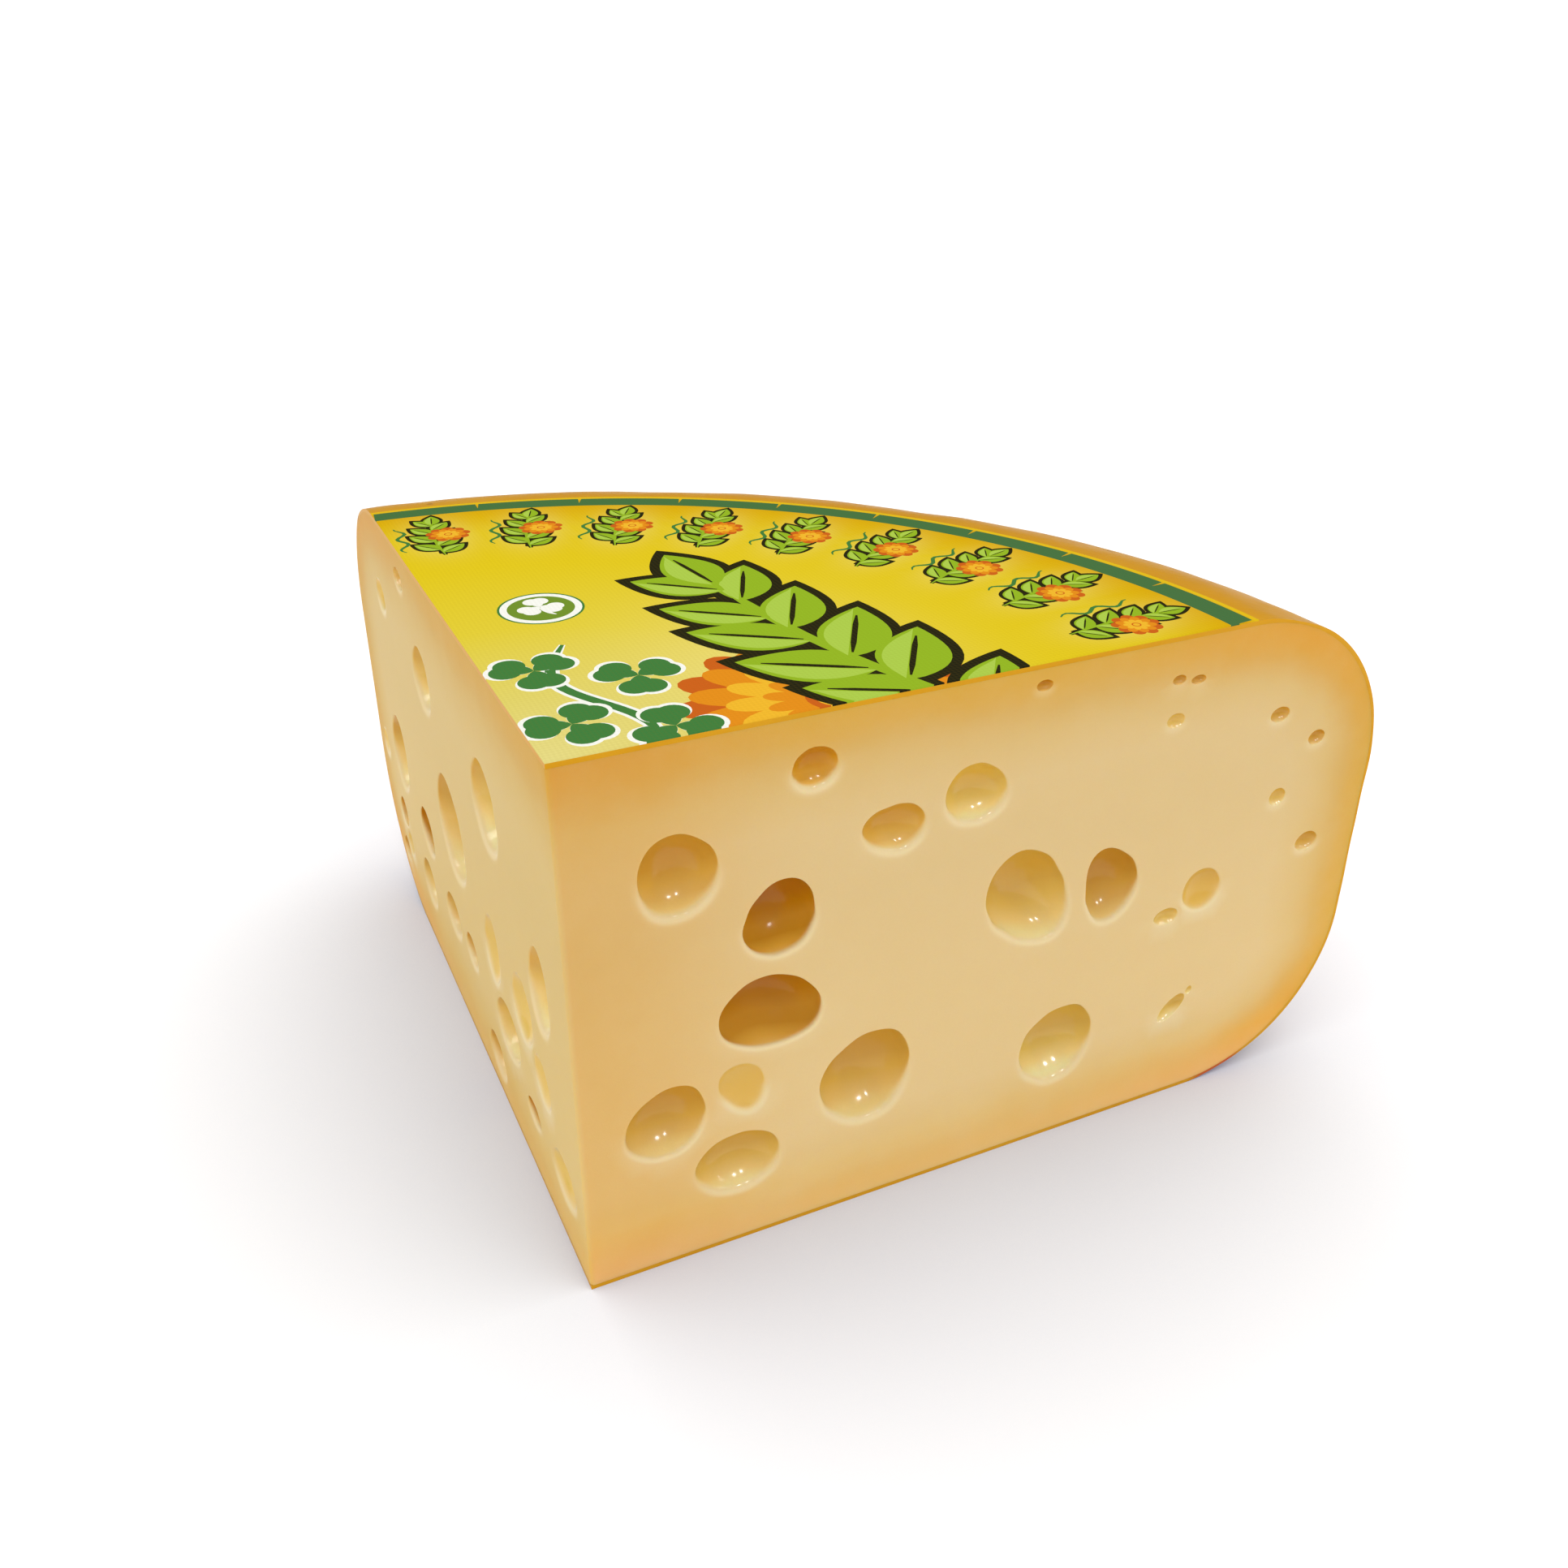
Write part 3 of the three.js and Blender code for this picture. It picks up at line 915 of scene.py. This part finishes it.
# The inks of the label. A later name in the list is a later material slot.
INKS = {
    "label_paper_ground_tint": None,
    "label_ink_ring_green": "3C663B",
    "label_ink_black_green": "1C1E12",
    "label_ink_lime": "84A422",
    "label_ink_pale_lime": "9BB845",
    "label_ink_white": "E0E0D8",
    "label_ink_orange": "CE801A",
    "label_ink_red_orange": "B8571A",
    "label_ink_gold": "D9A62A",
    "label_ink_leaf_green": "387137",
    "label_ink_olive": "65832A",
}
GROUND, GREEN, DARK, LIME, PALE_LIME, WHITE, ORANGE, RED, GOLD, LEAF, OLIVE = range(len(INKS))


def turned_flat(points, angle, x=0.0, y=0.0):
    c, s = math.cos(angle), math.sin(angle)
    return [(x + px * c - py * s, y + px * s + py * c) for px, py in points]


def leaf(length, width, grow=0.0):
    """A pointed leaf from the origin along +X, drawn out by grow all round."""
    steps = 14
    upper = []
    for i in range(steps + 1):
        t = i / steps
        upper.append(
            (
                t * length + grow * (2 * t - 1) * 1.6,
                (math.sin(math.pi * t ** 0.85) ** 0.9) * width / 2 + grow * math.sin(math.pi * t)))
    return upper + [(x, -y) for x, y in upper[-2:0:-1]]


def disc(radius, x=0.0, y=0.0, steps=40):
    return [
        (
            x + radius * math.cos(2 * math.pi * i / steps),
            y + radius * math.sin(2 * math.pi * i / steps))
        for i in range(steps)]


def ribbon(path, width):
    """A band of even width along a path, rounded off by narrowing at its ends."""
    left, right = [], []
    for i, (x, y) in enumerate(path):
        ax, ay = path[max(i - 1, 0)]
        bx, by = path[min(i + 1, len(path) - 1)]
        length = math.hypot(bx - ax, by - ay)
        taper = min(1.0, 0.35 + 3 * min(i, len(path) - 1 - i) / len(path))
        nx, ny = -(by - ay) / length * width / 2 * taper, (bx - ax) / length * width / 2 * taper
        left.append((x + nx, y + ny))
        right.append((x - nx, y - ny))
    return left + right[::-1]


def petal(length, width, grow=0.0):
    """A petal from the origin along +X, narrow at its foot and round at its tip."""
    steps = 24
    found = []
    for i in range(steps):
        turn = 2 * math.pi * i / steps
        t = (1 - math.cos(turn)) / 2
        found.append((
            t * (length + grow) - grow * 0.5 * (1 - t),
            math.sin(turn) * (width / 2 * (0.35 + 0.75 * t) + grow)))
    return found


def blossom(x, y, radius, petals, inks, outline):
    """Whorls of rounded petals about a centre, each whorl smaller than the one under it."""
    found = []
    for layer, (reach, ink) in enumerate(inks):
        for k in range(petals):
            angle = 2 * math.pi * (k + 0.5 * (layer % 2)) / petals
            size = radius * reach
            blade = petal(size, size * 5.6 / petals, outline if layer == 0 else 0.0)
            found.append((ink, turned_flat(blade, angle, x, y)))
    found.append((RED, disc(radius * 0.20, x, y, 24)))
    found.append((GOLD, disc(radius * 0.14, x, y, 20)))
    return found


def sprig(x, y, angle, length, leaves, size, outline, width=0.5, curve=0.04):
    """A curved stem with leaves on both sides by turns and one at its tip, each with a dark edge,
    a paler half and a midrib."""
    stem = [(t * length / 24, math.sin(t / 24 * math.pi) * length * curve) for t in range(25)]
    blades = []
    for k in range(leaves * 2):
        t = (k + 0.55) / (leaves * 2 + 0.4)
        at = stem[round(t * 24)]
        blades.append(
            (
                at, (1 if k % 2 else -1) * math.radians(50 - 14 * t),
                size * (1.06 - 0.42 * abs(t - 0.35))))
    blades.append((stem[-2], math.radians(-6), size * 0.9))

    def put(points, at=(0.0, 0.0), lean=0.0):
        return turned_flat(turned_flat(points, lean, *at), angle, x, y)

    found = [(DARK, put(ribbon(stem, size * 0.10 + 2 * outline)))]
    found += [
        (DARK, put(leaf(length_, length_ * width, outline), at, lean))
        for at, lean, length_ in blades]
    found.append((LIME, put(ribbon(stem, size * 0.10))))
    for at, lean, reach in blades:
        found.append((LIME, put(leaf(reach, reach * width), at, lean)))
        found.append((PALE_LIME, put(half_leaf(reach, reach * width), at, lean)))
        rib = [(reach * (0.08 + 0.74 * t / 8), 0.0) for t in range(9)]
        found.append((DARK, put(ribbon(rib, reach * 0.045), at, lean)))
    return found


def half_leaf(length, width):
    """The upper half of a leaf, kept clear of its edge and its midrib."""
    whole = leaf(length * 0.94, width * 0.82)
    return [(x + length * 0.02, max(y, length * 0.03)) for x, y in whole[:15]]


def clover(x, y, size, angle, ink):
    """Three round leaflets."""
    found = []
    for k in range(3):
        turn = angle + math.radians(120) * k
        for side in (-0.30, 0.30):
            found.append(
                (
                    ink,
                    disc(
                        size * 0.36, x + size * 0.62 * math.cos(turn + side * 0.9),
                        y + size * 0.62 * math.sin(turn + side * 0.9), 22)))
        found.append((ink, turned_flat(leaf(size * 0.9, size * 0.5), turn, x, y)))
    return found


def label_print(settings):
    """Every printed shape from the bottom up, as (ink, outline in millimetres)."""
    found = [(GREEN, ring_outline(settings.ring_inner / MM, settings.ring_outer / MM))]
    for k in range(settings.sprigs + 1):
        notch = [(144.4, 0.0), (148.3, 0.45), (148.3, -0.45)]
        found.append((GROUND, turned_flat(notch, math.radians(10 * k))))
    for k in range(settings.sprigs):
        angle = math.radians(5 + 10 * k)
        found += sprig(*on_circle(110.5, angle), angle, 24.5, 4, 7.6, 0.85, 0.58)
        middle = turned_flat([(125.5, -2.6)], angle)[0]
        found += blossom(*middle, 5.0, 9, ((1.0, RED), (0.84, ORANGE), (0.55, GOLD)), 0.3)
        curl = [(115 + 1.15 * t, 8.2 + 1.1 * math.sin(t * 0.9)) for t in range(17)]
        found.append((LEAF, turned_flat(ribbon(curl, 0.95), angle)))
    found += blossom(55, 3, 29, 15, ((1.0, RED), (0.92, ORANGE), (0.70, GOLD), (0.46, ORANGE)), 0.5)
    found += sprig(79, -17, math.radians(104), 89, 5, 26, 2.3, 0.56, 0.05)
    vine = [(16 + 5.0 * math.sin(t * 0.30 + 0.6), -3 + 2.5 * t) for t in range(21)]
    found.append((WHITE, ribbon(vine, 3.6)))
    found.append((LEAF, ribbon(vine, 2.1)))
    for ink, size in ((WHITE, 9.6), (LEAF, 8.6)):
        for x, y, turn in ((9.0, 37, 150), (26, 27, 20), (8.5, 12, 170), (24.5, 4, -30)):
            found += clover(x, y, size, math.radians(turn), ink)
    for ink, radius in ((LEAF, 9.0), (WHITE, 8.5), (OLIVE, 7.0)):
        found.append((ink, disc(radius, 19.5, 68)))
    found += clover(19.5, 69, 5.2, math.radians(90), WHITE)
    stalk = [(19.5 + 0.03 * t * t, 68.4 - 0.62 * t) for t in range(9)]
    found.append((WHITE, ribbon(stalk, 0.9)))
    return found


def on_circle(radius, angle):
    return radius * math.cos(angle), radius * math.sin(angle)


def ring_outline(inner, outer):
    turns = [math.radians(-2 + 0.5 * i) for i in range(189)]
    return [(outer * math.cos(t), outer * math.sin(t)) for t in turns] + [
        (inner * math.cos(t), inner * math.sin(t)) for t in turns[::-1]]


def glow_at(x, y):
    """How much of the pale glow printed behind the motifs shows at a place, from 0 to 1."""
    radius, angle = math.hypot(x, y), math.degrees(math.atan2(y, x))
    near = round((angle - 5) / 10) * 10 + 5
    across = math.radians(angle - near) * radius
    small = math.exp(-((radius - 124) / 12) ** 2 - (across / 7.0) ** 2)
    large = math.exp(-((x - 50) / 26) ** 2 - ((y - 16) / 34) ** 2)
    return min(1.0, 0.45 * small + 0.5 * large)


def build_label(settings, top):
    """The face of the label: a quarter-disc whose printed shapes are faces of their own inks."""
    shape = Shape()
    turns = [math.radians(i) for i in range(91)]
    radius = settings.radius
    rim = [(radius * math.cos(t), radius * math.sin(t)) for t in turns]
    rim[0], rim[-1] = (radius, 0.0), (0.0, radius)
    straight = spaced(radius, 0.0, 6 * MM)
    outline = rim + [(0.0, r) for r in straight[1:]] + [(r, 0.0) for r in straight[::-1][1:-1]]
    prints = label_print(settings)
    loops = [outline] + [[(x * MM, y * MM) for x, y in loop] for _, loop in prints]
    loose = [
        Vector((x * 3 * MM, y * 3 * MM))
        for x in range(1, 50)
        for y in range(1, 50) if math.hypot(x, y) * 3 * MM < radius - 0.002]
    points, faces, owners = fill(loops, loose)
    index = {}

    def upper(i):
        if i not in index:
            x, y = points[i]
            index[i] = shape.point((x, y, top), print_glow=glow_at(x / MM, y / MM))
        return index[i]

    for corners, owner in zip(faces, owners):
        if 0 in owner:
            over = max(owner)
            ink = prints[over - 1][0] if over else GROUND
            shape.face([upper(i) for i in corners], ink)
    return shape


# ------------------------------------------------------------------ operators


def ride(made, node):
    """Puts a finished piece in the place of its CAD node."""
    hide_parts(node)
    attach(made, "root")


class CHEESE_OT_paste(Operator):
    """Build the paste with its open eyes"""

    bl_idname = "cheese.build_paste"
    bl_label = "Build Paste"

    def execute(self, context):
        scene = context.scene
        shape = build_paste(scene.cheese_paste, scene.cheese_coating)
        made = shape.finish("cheese_paste", [paste_material(scene.cheese_paste)], math.radians(50))
        ride(made, "cheese")
        return {"FINISHED"}


class CHEESE_OT_coating(Operator):
    """Build the coating over the rind"""

    bl_idname = "cheese.build_coating"
    bl_label = "Build Coating"

    def execute(self, context):
        scene = context.scene
        shape = build_coating(scene.cheese_paste, scene.cheese_coating)
        made = shape.finish(
            "coating_film",
            [coating_material(scene.cheese_coating, scene.cheese_paste.wheel_radius)],
            math.radians(40))
        ride(made, "rind_coating")
        return {"FINISHED"}


class CHEESE_OT_label(Operator):
    """Build the printed label"""

    bl_idname = "cheese.build_label"
    bl_label = "Build Label"

    def execute(self, context):
        scene = context.scene
        low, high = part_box("label")
        shape = build_label(scene.cheese_label, high.z)
        materials = [ink_material(name, colour) for name, colour in INKS.items()]
        made = shape.finish("label_sheet", materials, math.radians(30), low.z)
        ride(made, "label")
        return {"FINISHED"}


class CHEESE_OT_stage(Operator):
    """Build the floor, the lights and the camera"""

    bl_idname = "cheese.build_stage"
    bl_label = "Build Stage"

    def execute(self, context):
        settings = context.scene.cheese_stage
        add_floor(settings)
        add_lights(context.scene)
        add_camera(context.scene, settings)
        return {"FINISHED"}


def add_floor(settings):
    mesh = bpy.data.meshes.new("floor")
    half = settings.floor_size / 2
    mesh.from_pydata(
        [(-half, -half, 0), (half, -half, 0), (half, half, 0), (-half, half, 0)], [], [(0, 1, 2, 3)]
    )
    material, add = new_material("studio_floor_painted_shadow")
    # Painted shadow: the floor's colour is darkened near the wedge, most on the side that faces
    # away from the main light.
    towards = Vector((-0.70, 0.25, 0.70)).normalized()
    open_sky = add(
        "ShaderNodeAmbientOcclusion", {"Distance": 0.13, "Normal": towards}, "AO", samples=12)
    tone = add(MIX, {FACTOR: open_sky, A: linear("A4B2D2"), B: linear("F7F7F7")}, **COLOURS)
    shader = add(SHADER, {"Base Color": tone, "Roughness": 0.9, "Specular IOR Level": 0.0})
    add("ShaderNodeOutputMaterial", {"Surface": shader})
    mesh.materials.append(material)
    made = bpy.data.objects.new("floor", mesh)
    bpy.context.scene.collection.objects.link(made)


LIT_PLACE = Vector((0, 0, 0.06))


def add_area(name, place, size, power):
    """Adds a light that faces the wedge. It only glints, and gives no soft light."""
    data = bpy.data.lights.new(name, "AREA")
    data.energy = power
    data.shape = "RECTANGLE"
    data.size = data.size_y = size
    made = bpy.data.objects.new(name, data)
    made.location = place
    made.rotation_euler = (LIT_PLACE - Vector(place)).to_track_quat("-Z", "Y").to_euler()
    made.visible_diffuse = False
    bpy.context.scene.collection.objects.link(made)


def add_lights(scene):
    world = bpy.data.worlds.new("white_room")
    world.use_nodes = True
    # Reflections see a darker room than the soft light that comes from it, so nothing looks milky.
    glossy = add_node(world.node_tree, "ShaderNodeLightPath", out="Is Glossy Ray")
    strength = add_node(world.node_tree, RANGE, {"Value": glossy, "To Min": 1.34, "To Max": 0.12})
    background = world.node_tree.nodes["Background"]
    background.inputs["Color"].default_value = (1, 1, 1, 1)
    world.node_tree.links.new(strength, background.inputs["Strength"])
    scene.world = world
    add_area("glint_left", (-0.12, -0.62, 1.07), 0.10, 3.2)
    add_area("glint_right", (0.31, -0.54, 1.07), 0.10, 3.2)
    add_area("gloss_left", (-0.85, 0.50, 0.85), 0.5, 4.0)
    add_area("gloss_right", (0.95, -0.20, 0.80), 0.5, 4.0)


def add_camera(scene, settings):
    data = bpy.data.cameras.new("camera")
    data.lens, data.sensor_width, data.sensor_fit = settings.lens, 36.0, "HORIZONTAL"
    data.clip_start, data.clip_end = 0.01, 100.0
    made = bpy.data.objects.new("camera", data)
    az, el = settings.azimuth, settings.elevation
    back = Vector((math.sin(az) * math.cos(el), -math.cos(az) * math.cos(el), math.sin(el)))
    made.location = (-0.1460, -0.2958, 0.2247)
    made.rotation_euler = back.to_track_quat("Z", "Y").to_euler()
    scene.collection.objects.link(made)
    scene.camera = made
    scene.view_settings.view_transform = "Standard"


class CHEESE_PT_panel(Panel):
    """Lists the pieces in the sidebar"""

    bl_idname = "CHEESE_PT_panel"
    bl_label = "Cheese Wedge"
    bl_space_type = "VIEW_3D"
    bl_region_type = "UI"
    bl_category = "Cheese"

    def draw(self, context):
        for operator in OPERATORS:
            self.layout.operator(operator.bl_idname)


OPERATORS = (CHEESE_OT_paste, CHEESE_OT_coating, CHEESE_OT_label, CHEESE_OT_stage)
SETTINGS = {
    "cheese_paste": PasteSettings,
    "cheese_coating": CoatingSettings,
    "cheese_label": LabelSettings,
    "cheese_stage": StageSettings,
}


def register():
    for kind in (*SETTINGS.values(), *OPERATORS, CHEESE_PT_panel):
        bpy.utils.register_class(kind)
    for name, kind in SETTINGS.items():
        setattr(bpy.types.Scene, name, PointerProperty(type=kind))


def unregister():
    for name in SETTINGS:
        delattr(bpy.types.Scene, name)
    for kind in (CHEESE_PT_panel, *reversed(OPERATORS), *reversed(SETTINGS.values())):
        bpy.utils.unregister_class(kind)


def main():
    """Builds everything."""
    register()
    for step in (
        bpy.ops.cheese.build_paste, bpy.ops.cheese.build_coating, bpy.ops.cheese.build_label,
        bpy.ops.cheese.build_stage):
        step()


if __name__ == "__main__":
    main()
